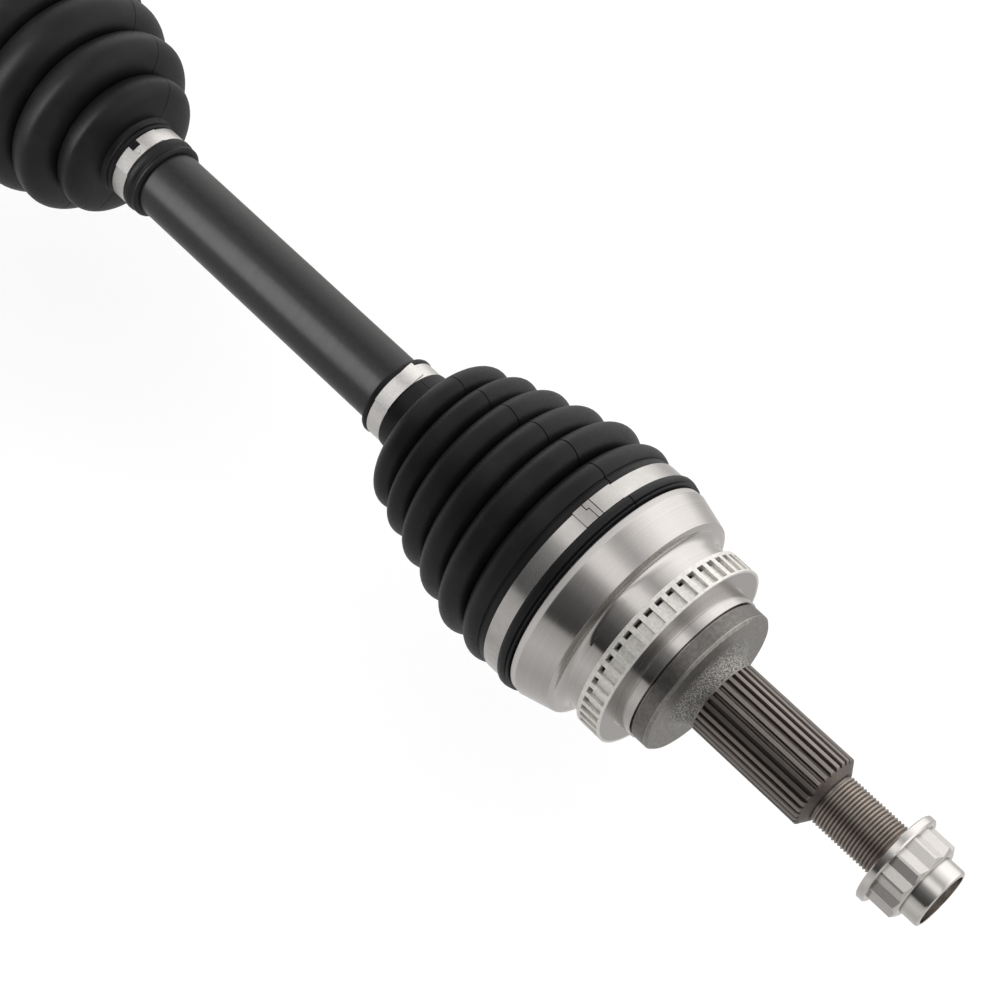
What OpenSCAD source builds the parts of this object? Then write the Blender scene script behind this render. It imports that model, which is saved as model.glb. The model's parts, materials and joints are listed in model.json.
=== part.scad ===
// Constant-velocity drive axle: a six-ball fixed joint at the wheel end, a plunging tripod joint
// at the gearbox end, one bar between them, two convoluted boots and the hub nut.
// The axle lies along X. The origin is on its axis, in the plane of the hub-bearing shoulder:
// +X runs out through the hub spline to the nut, -X runs inboard to the gearbox.

/* [Wheel stub] */
// Length from the hub shoulder to the seat of the hub nut
nut_seat_x = 91; // [88:1:96]
// Outer radius of the hub spline
hub_spline_r = 15.75; // [15.2:0.05:16.2]
// Number of hub spline teeth
hub_spline_teeth = 30; // [24:1:32]
// Radius of the hub thread, an M22 x 1.5
thread_r = 11; // [10:0.5:11]
// Pitch of the hub thread
thread_pitch = 1.5; // [1.25:0.25:2]
// Radius of the hub-bearing shoulder
shoulder_r = 32.6; // [31.5:0.1:33]
// Radius of the seal journal behind the shoulder
journal_r = 33.2; // [33:0.1:34]

/* [Wheel joint] */
// Distance from the hub shoulder back to the centre of the ball joint
ball_joint_back = 53.5; // [53:0.5:54.5]
// Radius of each ball
ball_r = 9.525; // [9.4:0.025:9.6]
// Radius of the circle that the ball centres lie on
ball_circle_r = 31.5; // [31.2:0.1:31.8]
// Offset of each race's track centre from the joint centre
track_offset = 3.3; // [3:0.1:3.6]
// Radius of the bell at its widest
bell_r = 50.2; // [49.8:0.1:51]
// Radius of the neck between the bell and the tone ring
neck_r = 40.2; // [39.5:0.1:40.6]

/* [Tone ring] */
// Radius of the tone ring
ring_r = 42.1; // [41.8:0.1:43]
// Number of slots in the tone ring
ring_slots = 48; // [36:1:50]

/* [Hub nut] */
// Width across the flats of the twelve-point nut
nut_across_flats = 30; // [29:0.5:31]
// Radius of the nut's flange
nut_flange_r = 19.4; // [18.6:0.1:20]

/* [Bar] */
// Distance between the centres of the two joints
joint_span = 407; // [400:1:440]
// Radius of the bar where it shows between the boots
bar_r = 15; // [14.8:0.1:15.1]
// Radius of the bar inside the boots
bar_neck_r = 13.4; // [13.2:0.1:13.5]
// Radius of the splined ends of the bar
bar_spline_r = 12.75; // [12.5:0.05:12.9]

/* [Tripod joint] */
// Radius of the tripod housing where the boot sits
housing_r = 48.3; // [48:0.1:49]
// Radius of each roller's barrel
roller_r = 18.5; // [18:0.1:18.6]
// Distance of each roller's centre from the axis
roller_circle_r = 28; // [27.8:0.1:28.2]
// Radius of each trunnion of the spider
trunnion_r = 9.5; // [9.3:0.1:9.7]
// Radius of the gearbox seal journal
gearbox_journal_r = 20; // [19:0.5:21]
// Number of gearbox spline teeth
gearbox_spline_teeth = 26; // [22:1:28]

/* [Hidden] */

$fn = 96;
eps = 0.5;                       // how far a cutter reaches past the face that it cuts

// Colours
steel = "#c9c5c1";
dark_steel = "#6b6460";
bright_steel = "#dedad4";
ball_steel = "#e6e6e8";
black_paint = "#2b2a2c";
rubber = "#1d1d1f";

// Ball joint
ball_x = -ball_joint_back;
track_r = norm([ball_circle_r, track_offset]);
track_fit = 0.05;                // gap between a ball and its track in the outer race
inner_track_fit = 0.17;          // the inner race gets more, for the small error of the linear ball drive
ball_count = 6;
first_ball = 30;                 // azimuth of the first ball from +Z
outer_sphere_r = 33.5;           // spherical bore of the outer race
cage_outer_r = 33.4;
cage_inner_r = 28.35;
cage_half_width = 13.5;
window_fit = 0.45;               // gap each side of a ball along the axis, in its cage window
window_half_length = 10.8;
race_sphere_r = 28.25;
race_half_width = 12.5;
mouth_x = ball_x - 17;
mouth_r = 36.2;                  // bore of the mouth, which clears the bar at full bend
boot_seat_r = 48;                // outside of the bell under the boot
boot_seat_end = ball_x;

// Bell steps, inboard to outboard
lead_x = boot_seat_end + 0.4;
wide_x = lead_x + 2.9;
step_x = wide_x + 13.2;
step_r = bell_r - 3.7;
neck_fillet = 4;
ring_x = -26.2;
ring_w = 11;
ring_seat_r = journal_r + 0.8;   // the ring passes over the journal and presses on this step
groove_x = -8;
groove_w = 0.6;
groove_depth = 0.9;
edge_bevel = 1.1;
face_r = 22.6;                   // the shoulder face is flat outside this radius

// Stub
spline_end = 57.8;
spline_bevel = 3;
relief_r = 10.1;
relief_w = 1.7;
thread_start = spline_end + spline_bevel + relief_w;
thread_depth = 0.61 * thread_pitch;
thread_stop = nut_seat_x - 0.3;
stub_end = nut_seat_x + 18.8;
stake_slot = [11, 4, 2.2];       // length, width and depth of the groove that the nut is staked into
centre_drill_r = 3.2;
spline_tooth_h = 1.35;

// Nut
nut_bore_fit = 0.06;
nut_flange_w = 3.5;
nut_body_end = nut_seat_x + 15.2;
nut_end = nut_seat_x + 23;
collar_r = 12.9;

// Bar
bar_end_x = ball_x + race_half_width + 4;
tripod_x = ball_x - joint_span;
spider_half_width = 11;
bar_inboard_x = tripod_x - spider_half_width - 4;
seat_groove_r = bar_r - 0.5;
bar_teeth = 26;
bore_spline_fit = 0.05;
circlip_w = 1.5;
circlip_groove_r = bar_spline_r - 1.5;

// Boots: each rib is [distance of its crest from the joint centre, radius of its crest]
outer_ribs = [[90.1, 34.6], [78.4, 38.9], [64.8, 43.1], [50, 47.2], [35.4, 51.2], [20.5, 52.2]];
inner_ribs = [[123.1, 32.9], [107.1, 42.9], [86, 48.4], [65.5, 53], [47.5, 54.2]];
boot_wall = 2;
rib_depth = 6.5;                 // depth of the valley between two ribs
outer_small_clamp_x = ball_x - 115.3;
outer_large_clamp_x = ball_x - 13.1;
inner_small_clamp_x = tripod_x + 135.3;
inner_large_clamp_x = tripod_x + 25.5;
small_cuff_r = 16.7;
large_cuff_r = 50.1;
band_w = 7.6;
small_band_w = 7;
band_t = 0.8;
lip_h = 1.2;
cuff_gap = 0.05;                 // play that keeps each rubber cuff off its metal seat
lock_middle = 177;               // where the large clamps lock, turned about X from straight down
lock_arc = 24;                   // how far round the raised lock of a clamp reaches

// Tripod housing
housing_mouth_x = tripod_x + 40;
housing_seat_end = housing_mouth_x - 18;
housing_body_r = 49.8;
cavity_end_x = tripod_x - 47;
housing_end_x = cavity_end_x - 9;
cavity_r = 30;
track_side_r = roller_r + 0.85;  // roller track, with room for the roller to tilt as the joint bends
lobe_top = 38.6;
housing_mouth_r = 34.6;
scallop_r = 20;
scallop_centre = 60;
gearbox_spline_r = 13.75;
gearbox_spline_start = housing_end_x - 22;
gearbox_spline_end = gearbox_spline_start - 46;
gearbox_end = gearbox_spline_end - 6;
ring_groove_x = gearbox_spline_end + 4;
roller_half_height = 6;
needle_r = 1.25;
needle_count = 26;
needle_half_length = 5.6;
needle_fit = 0.04;
trunnion_end = roller_circle_r + 9.2;
washer_w = 0.8;
snap_w = 1.2;
trunnion_gap = 0.1;
trunnion_boss_r = spider_half_width - 0.2;

// Solid of revolution about the X axis from [radius, x] points
module turned(points) {
    rotate([0, 90, 0]) rotate_extrude() polygon(points);
}

// Plain ring about the X axis
module ring(inner, outer, x, w) {
    turned([[inner, x], [outer, x], [outer, x + w], [inner, x + w]]);
}

// Child repeated at equal steps about the X axis
module around(count, first = 0) {
    for (i = [0 : count - 1]) rotate([first + i * 360 / count, 0, 0]) children();
}

// Straight grooves that turn a round bar into a spline
module spline_grooves(tip_r, teeth, x0, x1, fit = 0) {
    pitch = 2 * PI * tip_r / teeth;
    root = 0.12 * pitch - fit;
    top = 0.37 * pitch - fit;
    around(teeth)
        translate([x0, 0, tip_r])
            rotate([90, 0, 90])
                linear_extrude(x1 - x0)
                    polygon([[-root, fit - spline_tooth_h], [root, fit - spline_tooth_h],
                             [top, 0.8], [-top, 0.8]]);
}

// Splined hole cutter, larger all round than the spline that enters it
module splined_bore(tip_r, teeth, x0, x1) {
    difference() {
        ring(0, tip_r + bore_spline_fit, x0, x1 - x0);
        spline_grooves(tip_r, teeth, x0 - eps, x1 + eps, bore_spline_fit);
    }
}

// Curved ball track about the joint: centred offset along the axis, swept between two angles
module ball_track(offset, radius, from, sweep) {
    translate([ball_x + offset, 0, 0])
        rotate([90, 0, 0])
            rotate([0, 0, from])
                rotate_extrude(angle = sweep)
                    translate([track_r, 0]) circle(radius);
}

// Points of the thread's crests and roots, [radius, x], from the inboard end to the outboard end
function thread_points() =
    [for (i = [0 : floor((thread_stop - thread_start) / thread_pitch) - 1])
        each [[thread_r, thread_start + i * thread_pitch],
              [thread_r - thread_depth, thread_start + (i + 0.5) * thread_pitch]]];

// Forging behind the wheel hub: bell, seal journal, shoulder, spline and thread in one piece.
// Round fillets join the shoulder face to the spline and the bell to its neck.
module stub_blank() {
    fillet_r = face_r - hub_spline_r;
    neck_x = step_x + 0.9 + neck_fillet;
    outline = concat(
        [[0, mouth_x], [boot_seat_r, mouth_x], [boot_seat_r, boot_seat_end - eps],
         [bell_r - 0.3, lead_x], [bell_r, wide_x], [step_r, step_x],
         [neck_r + neck_fillet, neck_x - neck_fillet], [neck_r + neck_fillet, neck_x],
         [neck_r, neck_x], [neck_r, ring_x], [ring_seat_r, ring_x],
         [ring_seat_r, ring_x + ring_w], [journal_r, ring_x + ring_w], [journal_r, groove_x],
         [shoulder_r - groove_depth, groove_x + 0.2], [shoulder_r - groove_depth, groove_x + groove_w],
         [shoulder_r, groove_x + groove_w + 0.2],
         [shoulder_r, -edge_bevel], [shoulder_r - edge_bevel, 0], [face_r, 0], [face_r, fillet_r]],
        [[hub_spline_r, fillet_r], [hub_spline_r, spline_end], [thread_r + 0.4, spline_end + spline_bevel],
         [relief_r, spline_end + spline_bevel], [relief_r, thread_start - 0.4]],
        thread_points(),
        [[thread_r, thread_stop], [thread_r, stub_end - 1], [thread_r - 1, stub_end], [0, stub_end]]);
    rotate([0, 90, 0]) rotate_extrude() difference() {
        polygon(outline);
        translate([face_r, fillet_r]) circle(fillet_r);
        translate([neck_r + neck_fillet, neck_x]) circle(neck_fillet);
    }
}

// Solid ball on the joint centre, with its poles on the X axis
module joint_sphere(radius) {
    translate([ball_x, 0, 0]) rotate([0, 90, 0]) rotate_extrude() intersection() {
        circle(radius);
        translate([0, -radius]) square([radius, 2 * radius]);
    }
}

// Room for the cage and balls: a spherical bore, six curved tracks and a mouth that opens at 45 degrees
module ball_race_cavity() {
    mouth_depth = 11;
    joint_sphere(outer_sphere_r);
    turned([[0, mouth_x - eps], [mouth_r + eps, mouth_x - eps],
            [mouth_r - mouth_depth, mouth_x + mouth_depth], [0, mouth_x + mouth_depth]]);
    around(ball_count, first_ball) ball_track(-track_offset, ball_r + track_fit, 43, 109);
}

module outer_race_stub() {
    color(steel) difference() {
        stub_blank();
        ball_race_cavity();
        spline_grooves(hub_spline_r, hub_spline_teeth, face_r - hub_spline_r + 0.6,
                       spline_end + spline_bevel + eps);
        translate([stub_end - stake_slot[0], -stake_slot[1] / 2, thread_r - stake_slot[2]])
            cube([stake_slot[0] + eps, stake_slot[1], stake_slot[2] + eps]);
        translate([stub_end - 7, 0, 0]) rotate([0, 90, 0]) cylinder(r = centre_drill_r, h = 7 + eps);
    }
}

// Slots are open outwards, with a deeper window at their inboard end
module abs_tone_ring() {
    pitch = 2 * PI * ring_r / ring_slots;
    slot_w = 0.6 * pitch;
    rim = 1.7;
    outer_rim = 0.9;
    window = 1.6;
    ring_fit = 0.02;
    color(bright_steel) difference() {
        ring(ring_seat_r + ring_fit, ring_r, ring_x + ring_fit, ring_w - ring_fit);
        around(ring_slots)
            translate([ring_x, slot_w / 2, 0])
                rotate([90, 0, 0])
                    linear_extrude(slot_w)
                        polygon([[rim, ring_r - 4.6], [rim + window, ring_r - 4.6],
                                 [rim + window, ring_r - 1.5], [ring_w - outer_rim, ring_r - 1.3],
                                 [ring_w - outer_rim, ring_r + eps], [rim, ring_r + eps]]);
    }
}

module ball_cage() {
    a = ball_r + window_fit;
    b = window_half_length;
    corner = 2.5;
    color(dark_steel) difference() {
        translate([ball_x, 0, 0]) rotate([0, 90, 0]) rotate_extrude() intersection() {
            difference() {
                circle(cage_outer_r);
                circle(cage_inner_r);
            }
            translate([0, -cage_half_width]) square([cage_outer_r, 2 * cage_half_width]);
        }
        around(ball_count, first_ball)
            translate([ball_x, 0, ball_circle_r - 10])
                linear_extrude(20)
                    polygon([[-a, corner - b], [corner - a, -b], [a - corner, -b], [a, corner - b],
                             [a, b - corner], [a - corner, b], [corner - a, b], [-a, b - corner]]);
    }
}

module inner_race() {
    color(steel) difference() {
        intersection() {
            translate([ball_x, 0, 0]) sphere(race_sphere_r);
            ring(0, 40, ball_x - race_half_width, 2 * race_half_width);
        }
        splined_bore(bar_spline_r, bar_teeth, ball_x - race_half_width - 1, ball_x + race_half_width + 1);
        around(ball_count, first_ball) ball_track(track_offset, ball_r + inner_track_fit, 30, 120);
    }
}

// Split ring in a groove of the bar
module circlip(x, gap_angle = 30) {
    translate([x, 0, 0]) rotate([0, 90, 0]) rotate([0, 0, gap_angle / 2])
        rotate_extrude(angle = 360 - gap_angle)
            translate([circlip_groove_r + 0.1, 0])
                square([bar_spline_r + 1.6 - circlip_groove_r, circlip_w]);
}

module race_circlip() {
    color(dark_steel) circlip(ball_x + race_half_width + 0.15);
}

module spider_circlip() {
    color(dark_steel) circlip(tripod_x - spider_half_width - 0.15 - circlip_w);
}

module ball(index) {
    color(ball_steel)
        translate([ball_x, 0, 0])
            rotate([first_ball + 60 * (index - 1), 0, 0])
                translate([0, 0, ball_circle_r]) sphere(ball_r);
}

module ball_1() { ball(1); }
module ball_2() { ball(2); }
module ball_3() { ball(3); }
module ball_4() { ball(4); }
module ball_5() { ball(5); }
module ball_6() { ball(6); }

// Twelve-point nut with a flange and a thin collar that is staked into the stub
module axle_nut() {
    first_point = 16.8;
    corner_r = nut_across_flats / 2 / cos(30);
    tip_r = corner_r - 0.3;
    body_x = nut_seat_x + nut_flange_w;
    body_w = nut_body_end - body_x;
    color(bright_steel) difference() {
        union() {
            turned([[0, nut_seat_x], [nut_flange_r - 0.5, nut_seat_x], [nut_flange_r, nut_seat_x + 0.5],
                    [nut_flange_r, body_x - 0.6], [nut_flange_r - 0.6, body_x], [0, body_x + 0.4]]);
            intersection() {
                union() {
                    for (turn = [first_point, first_point + 30])
                        translate([body_x - 0.2, 0, 0]) rotate([0, 90, 0]) rotate([0, 0, turn])
                            cylinder(r = corner_r, h = body_w + 0.2, $fn = 6);
                }
                turned([[0, body_x - 1], [tip_r, body_x - 1], [tip_r, nut_body_end - 1.4],
                        [tip_r - 2.2, nut_body_end], [0, nut_body_end]]);
            }
            turned([[0, body_x], [collar_r, body_x], [collar_r, nut_end - 1], [collar_r - 0.3, nut_end - 0.3],
                    [collar_r - 1, nut_end], [0, nut_end]]);
        }
        translate([nut_seat_x - eps, 0, 0]) rotate([0, 90, 0])
            cylinder(r = thread_r + nut_bore_fit, h = nut_end - nut_seat_x + 2 * eps);
    }
}

// Solid bar with a splined end for each joint and a shallow seat under each small cuff
module bar_shaft() {
    outer_seat = [outer_small_clamp_x - 1, outer_small_clamp_x + small_band_w + 1];
    inner_seat = [inner_small_clamp_x - 1, inner_small_clamp_x + small_band_w + 1];
    neck_out = outer_seat[1] + 40;
    neck_in = inner_seat[0] - 12;
    race_face = ball_x - race_half_width;
    spider_face = tripod_x + spider_half_width;
    out_clip = ball_x + race_half_width + 0.1;
    in_clip = tripod_x - spider_half_width - 0.1;
    color(black_paint) difference() {
        turned([[0, bar_inboard_x], [bar_spline_r - 1, bar_inboard_x], [bar_spline_r, bar_inboard_x + 1],
                [bar_spline_r, in_clip - circlip_w - 0.1], [circlip_groove_r, in_clip - circlip_w - 0.1],
                [circlip_groove_r, in_clip], [bar_spline_r, in_clip], [bar_spline_r, spider_face + 0.1],
                [bar_neck_r, spider_face + 0.1], [bar_neck_r, neck_in - 8], [bar_r, neck_in],
                [bar_r, inner_seat[0]], [seat_groove_r, inner_seat[0] + 0.5],
                [seat_groove_r, inner_seat[1] - 0.5], [bar_r, inner_seat[1]],
                [bar_r, outer_seat[0]], [seat_groove_r, outer_seat[0] + 0.5],
                [seat_groove_r, outer_seat[1] - 0.5], [bar_r, outer_seat[1]],
                [bar_r, neck_out], [bar_neck_r, neck_out + 8], [bar_neck_r, race_face - 0.1],
                [bar_spline_r, race_face - 0.1], [bar_spline_r, out_clip], [circlip_groove_r, out_clip],
                [circlip_groove_r, out_clip + circlip_w + 0.1], [bar_spline_r, out_clip + circlip_w + 0.1],
                [bar_spline_r, bar_end_x - 1], [bar_spline_r - 1, bar_end_x], [0, bar_end_x]]);
        spline_grooves(bar_spline_r, bar_teeth, race_face - 1, bar_end_x + eps);
        spline_grooves(bar_spline_r, bar_teeth, bar_inboard_x - eps, spider_face + 1);
    }
}

// Outline of a row of ribs, [radius, x]: each rib is a round crest, and the valleys are sharp.
// side is -1 for ribs inboard of the joint centre and 1 for ribs outboard of it.
function rib_points(ribs, joint_x, side, first_x, last_x, inset) =
    let (xs = [for (rib = ribs) joint_x + side * rib[0]], last = len(ribs) - 1)
        [for (i = [0 : last])
            let (left = i == 0 ? first_x : (xs[i - 1] + xs[i]) / 2,
                 right = i == last ? last_x : (xs[i + 1] + xs[i]) / 2)
                for (a = [-75 : 25 : 75])
                    let (half = a < 0 ? xs[i] - left : right - xs[i])
                        [ribs[i][1] - inset - rib_depth * (1 - cos(a)), xs[i] + half * sin(a)]];

function backwards(points) = [for (i = [len(points) - 1 : -1 : 0]) points[i]];

// Convoluted boot at the wheel end, from the lip on the bar to the bead on the bell
module outer_boot() {
    lip_x = outer_small_clamp_x - 3.2;
    cuff_x = outer_small_clamp_x;
    cuff_end = cuff_x + small_band_w;
    first_x = cuff_end + 9.5;
    last_x = outer_large_clamp_x - 3.6;
    seat_x = outer_large_clamp_x;
    bead_x = seat_x + band_w;
    bead_end = boot_seat_end - 0.6;
    grip_r = bar_r + cuff_gap;
    outside = concat(
        [[grip_r + 0.9, lip_x], [small_cuff_r + lip_h, cuff_x - 1], [small_cuff_r + lip_h, cuff_x - 0.3],
         [small_cuff_r, cuff_x - 0.2], [small_cuff_r, cuff_end + 0.2], [small_cuff_r + 1.2, cuff_end + 0.4],
         [small_cuff_r + 2.2, first_x - 0.6]],
        rib_points(outer_ribs, ball_x, -1, first_x, last_x, 0),
        [[large_cuff_r + 0.4, last_x + 0.4], [large_cuff_r + 0.4, seat_x - 0.3],
         [large_cuff_r, seat_x - 0.2], [large_cuff_r, bead_x + 0.2], [large_cuff_r + 1.6, bead_x + 0.6],
         [large_cuff_r + 1.6, bead_end - 1.2], [large_cuff_r + 0.6, bead_end]]);
    inside = concat(
        [[grip_r, lip_x], [grip_r, cuff_end + 4], [small_cuff_r + 0.4, first_x + 0.8]],
        rib_points(outer_ribs, ball_x, -1, first_x + 1, mouth_x - 0.6, boot_wall),
        [[boot_seat_r + cuff_gap, mouth_x - 0.4], [boot_seat_r + cuff_gap, bead_end]]);
    color(rubber) turned(concat(outside, backwards(inside)));
}

// Convoluted boot at the gearbox end, from the lip on the bar to the bead on the tripod housing
module inner_boot() {
    lip_x = inner_small_clamp_x + small_band_w + 7.5;
    cuff_end = inner_small_clamp_x + small_band_w;
    cuff_x = inner_small_clamp_x;
    first_x = cuff_x - 4;
    last_x = housing_mouth_x + 0.6;
    seat_x = inner_large_clamp_x + band_w;
    bead_x = inner_large_clamp_x;
    bead_end = housing_seat_end + 0.6;
    grip_r = bar_r + cuff_gap;
    outside = concat(
        [[grip_r + 1.4, lip_x], [small_cuff_r + 1.4, lip_x - 2], [small_cuff_r + 1.6, cuff_end + 1],
         [small_cuff_r, cuff_end + 0.2], [small_cuff_r, cuff_x - 0.2], [small_cuff_r + 1, cuff_x - 0.6],
         [small_cuff_r + 1.4, first_x + 0.6]],
        rib_points(inner_ribs, tripod_x, 1, first_x, last_x, 0),
        [[large_cuff_r + 0.7, last_x - 0.4], [large_cuff_r + 0.7, seat_x + 0.3],
         [large_cuff_r + 0.3, seat_x + 0.2], [large_cuff_r + 0.3, bead_x - 0.2],
         [large_cuff_r + 1.9, bead_x - 0.6], [large_cuff_r + 1.9, bead_end + 1.2],
         [large_cuff_r + 0.9, bead_end]]);
    inside = concat(
        [[grip_r, lip_x], [grip_r, cuff_x + 0.4], [small_cuff_r, first_x - 0.9]],
        rib_points(inner_ribs, tripod_x, 1, first_x - 1, last_x, boot_wall),
        [[housing_r + cuff_gap, housing_mouth_x + 0.4], [housing_r + cuff_gap, bead_end]]);
    color(rubber) turned(concat(outside, backwards(inside)));
}

// Metal band with a raised lock where its ends overlap
module band_clamp(inner, x, w, lock_at = lock_middle) {
    lock_edge = 0.6;
    color(bright_steel) union() {
        ring(inner + cuff_gap, inner + cuff_gap + band_t, x, w);
        translate([x + lock_edge, 0, 0]) rotate([0, 90, 0]) rotate([0, 0, lock_at - lock_arc / 2])
            rotate_extrude(angle = lock_arc)
                translate([inner + cuff_gap + band_t / 2, 0]) square([1.5 * band_t, w - 2 * lock_edge]);
    }
}

module outer_boot_large_clamp() {
    band_clamp(large_cuff_r, outer_large_clamp_x, band_w);
}

module outer_boot_small_clamp() {
    band_clamp(small_cuff_r, outer_small_clamp_x, small_band_w, 188);
}

module inner_boot_small_clamp() {
    band_clamp(small_cuff_r, inner_small_clamp_x, small_band_w, 194);
}

module inner_boot_large_clamp() {
    band_clamp(large_cuff_r + 0.3, inner_large_clamp_x, band_w);
}

// Turned outside of the tripod housing, closed end and gearbox stub in one piece
module housing_blank() {
    turned([[0, housing_mouth_x], [housing_r, housing_mouth_x], [housing_r, housing_seat_end],
            [housing_body_r, housing_seat_end - 1], [housing_body_r, housing_seat_end - 8],
            [housing_body_r - 1.4, cavity_end_x + 6], [housing_body_r - 9, housing_end_x + 5],
            [gearbox_journal_r + 9, housing_end_x], [gearbox_journal_r, housing_end_x - 2],
            [gearbox_journal_r, gearbox_spline_start + 4],
            [gearbox_spline_r + 1.5, gearbox_spline_start + 2], [gearbox_spline_r, gearbox_spline_start],
            [gearbox_spline_r, ring_groove_x + 1.2], [gearbox_spline_r - 1.3, ring_groove_x + 1.2],
            [gearbox_spline_r - 1.3, ring_groove_x - 0.6], [gearbox_spline_r, ring_groove_x - 0.6],
            [gearbox_spline_r, gearbox_spline_end],
            [gearbox_spline_r - 2.4, gearbox_end], [0, gearbox_end]]);
}

// Room for the spider: a round bore with three roller tracks, opened out at the mouth
module tripod_cavity() {
    bore_l = housing_mouth_x - cavity_end_x;
    translate([cavity_end_x, 0, 0]) rotate([0, 90, 0]) cylinder(r = cavity_r, h = bore_l + eps);
    cone_l = (housing_mouth_r - cavity_r) / tan(18);
    translate([housing_mouth_x - cone_l, 0, 0]) rotate([0, 90, 0])
        cylinder(r1 = cavity_r, r2 = housing_mouth_r + eps * tan(18), h = cone_l + eps);
    around(3, -90) intersection() {
        translate([cavity_end_x, 0, roller_circle_r]) rotate([0, 90, 0])
            cylinder(r = track_side_r, h = bore_l + eps);
        translate([cavity_end_x - eps, -25, 0]) cube([bore_l + 2 * eps, 50, lobe_top]);
    }
}

module tripod_housing() {
    scallop_l = 52;
    color(steel) difference() {
        housing_blank();
        tripod_cavity();
        around(3, -30)
            translate([housing_seat_end - 12 - scallop_l, 0, scallop_centre]) rotate([0, 90, 0])
                cylinder(r = scallop_r, h = scallop_l);
        spline_grooves(gearbox_spline_r, gearbox_spline_teeth, gearbox_end - eps,
                       gearbox_spline_start - 1);
    }
}

// Open ring of round wire that locks the gearbox stub into its side gear
module housing_snap_ring() {
    color(dark_steel)
        translate([ring_groove_x + 0.3, 0, 0]) rotate([0, 90, 0]) rotate([0, 0, 100])
            rotate_extrude(angle = 330)
                translate([gearbox_spline_r - 0.45, 0]) circle(0.8);
}

module trunnion_frame(index) {
    translate([tripod_x, 0, 0]) rotate([-90 + 120 * (index - 1), 0, 0]) children();
}

module tripod_spider() {
    hub_r = 19.5;
    color(steel) difference() {
        union() {
            turned([[0, tripod_x - spider_half_width], [hub_r - 1, tripod_x - spider_half_width],
                    [hub_r, tripod_x - spider_half_width + 1], [hub_r, tripod_x + spider_half_width - 1],
                    [hub_r - 1, tripod_x + spider_half_width], [0, tripod_x + spider_half_width]]);
            for (i = [1 : 3]) trunnion_frame(i) {
                rotate_extrude() polygon([[0, 0], [trunnion_r, 0], [trunnion_r, trunnion_end - 2.2],
                    [trunnion_r - 0.9, trunnion_end - 2.2], [trunnion_r - 0.9, trunnion_end - 0.9],
                    [trunnion_r, trunnion_end - 0.9], [trunnion_r - 0.8, trunnion_end], [0, trunnion_end]]);
                cylinder(r = trunnion_boss_r, h = roller_circle_r - roller_half_height - 0.4);
            }
        }
        splined_bore(bar_spline_r, bar_teeth, tripod_x - spider_half_width - 1,
                     tripod_x + spider_half_width + 1);
    }
}

// Barrel roller with a plain bore that runs on needles
module roller(index) {
    color(bright_steel) trunnion_frame(index) difference() {
        intersection() {
            translate([0, 0, roller_circle_r]) sphere(roller_r);
            translate([0, 0, roller_circle_r - roller_half_height])
                cylinder(r = roller_r, h = 2 * roller_half_height);
        }
        cylinder(r = trunnion_r + 2 * needle_r + 2 * needle_fit, h = 50);
    }
}

module roller_1() { roller(1); }
module roller_2() { roller(2); }
module roller_3() { roller(3); }

// Full complement of needles about one trunnion
module needle_set(index) {
    color(ball_steel) trunnion_frame(index)
        for (i = [0 : needle_count - 1])
            rotate([0, 0, i * 360 / needle_count])
                translate([trunnion_r + needle_r + needle_fit, 0, roller_circle_r - needle_half_length])
                    cylinder(r = needle_r, h = 2 * needle_half_length, $fn = 24);
}

module needle_set_1() { needle_set(1); }
module needle_set_2() { needle_set(2); }
module needle_set_3() { needle_set(3); }

// Flat washers that keep the rollers and needles on the trunnions
module roller_washers() {
    washer_z = roller_circle_r + roller_half_height + trunnion_gap;
    color(dark_steel) for (i = [1 : 3]) trunnion_frame(i)
        translate([0, 0, washer_z]) difference() {
            cylinder(r = trunnion_r + 4.2, h = washer_w - trunnion_gap);
            translate([0, 0, -1]) cylinder(r = trunnion_r + 0.1, h = 3);
        }
}

module trunnion_snap_rings() {
    color(dark_steel) for (i = [1 : 3]) trunnion_frame(i)
        translate([0, 0, trunnion_end - 2.15]) rotate_extrude(angle = 325)
            translate([trunnion_r - 0.8, 0]) square([2.2, snap_w]);
}

outer_race_stub();
abs_tone_ring();
ball_cage();
inner_race();
race_circlip();
ball_1();
ball_2();
ball_3();
ball_4();
ball_5();
ball_6();
axle_nut();
bar_shaft();
outer_boot();
outer_boot_large_clamp();
outer_boot_small_clamp();
inner_boot();
inner_boot_small_clamp();
inner_boot_large_clamp();
tripod_housing();
housing_snap_ring();
tripod_spider();
spider_circlip();
roller_1();
roller_2();
roller_3();
needle_set_1();
needle_set_2();
needle_set_3();
roller_washers();
trunnion_snap_rings();
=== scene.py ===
"""Looks of the constant-velocity drive axle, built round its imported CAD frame.

The axle lies along X. Lengths are millimetres until a mesh is made, except for the lights, the
floor and the camera, which are placed in metres. An angle round the axle is counted in degrees
from +Z towards -Y. Colours are linear.
"""

import json
import math

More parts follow.
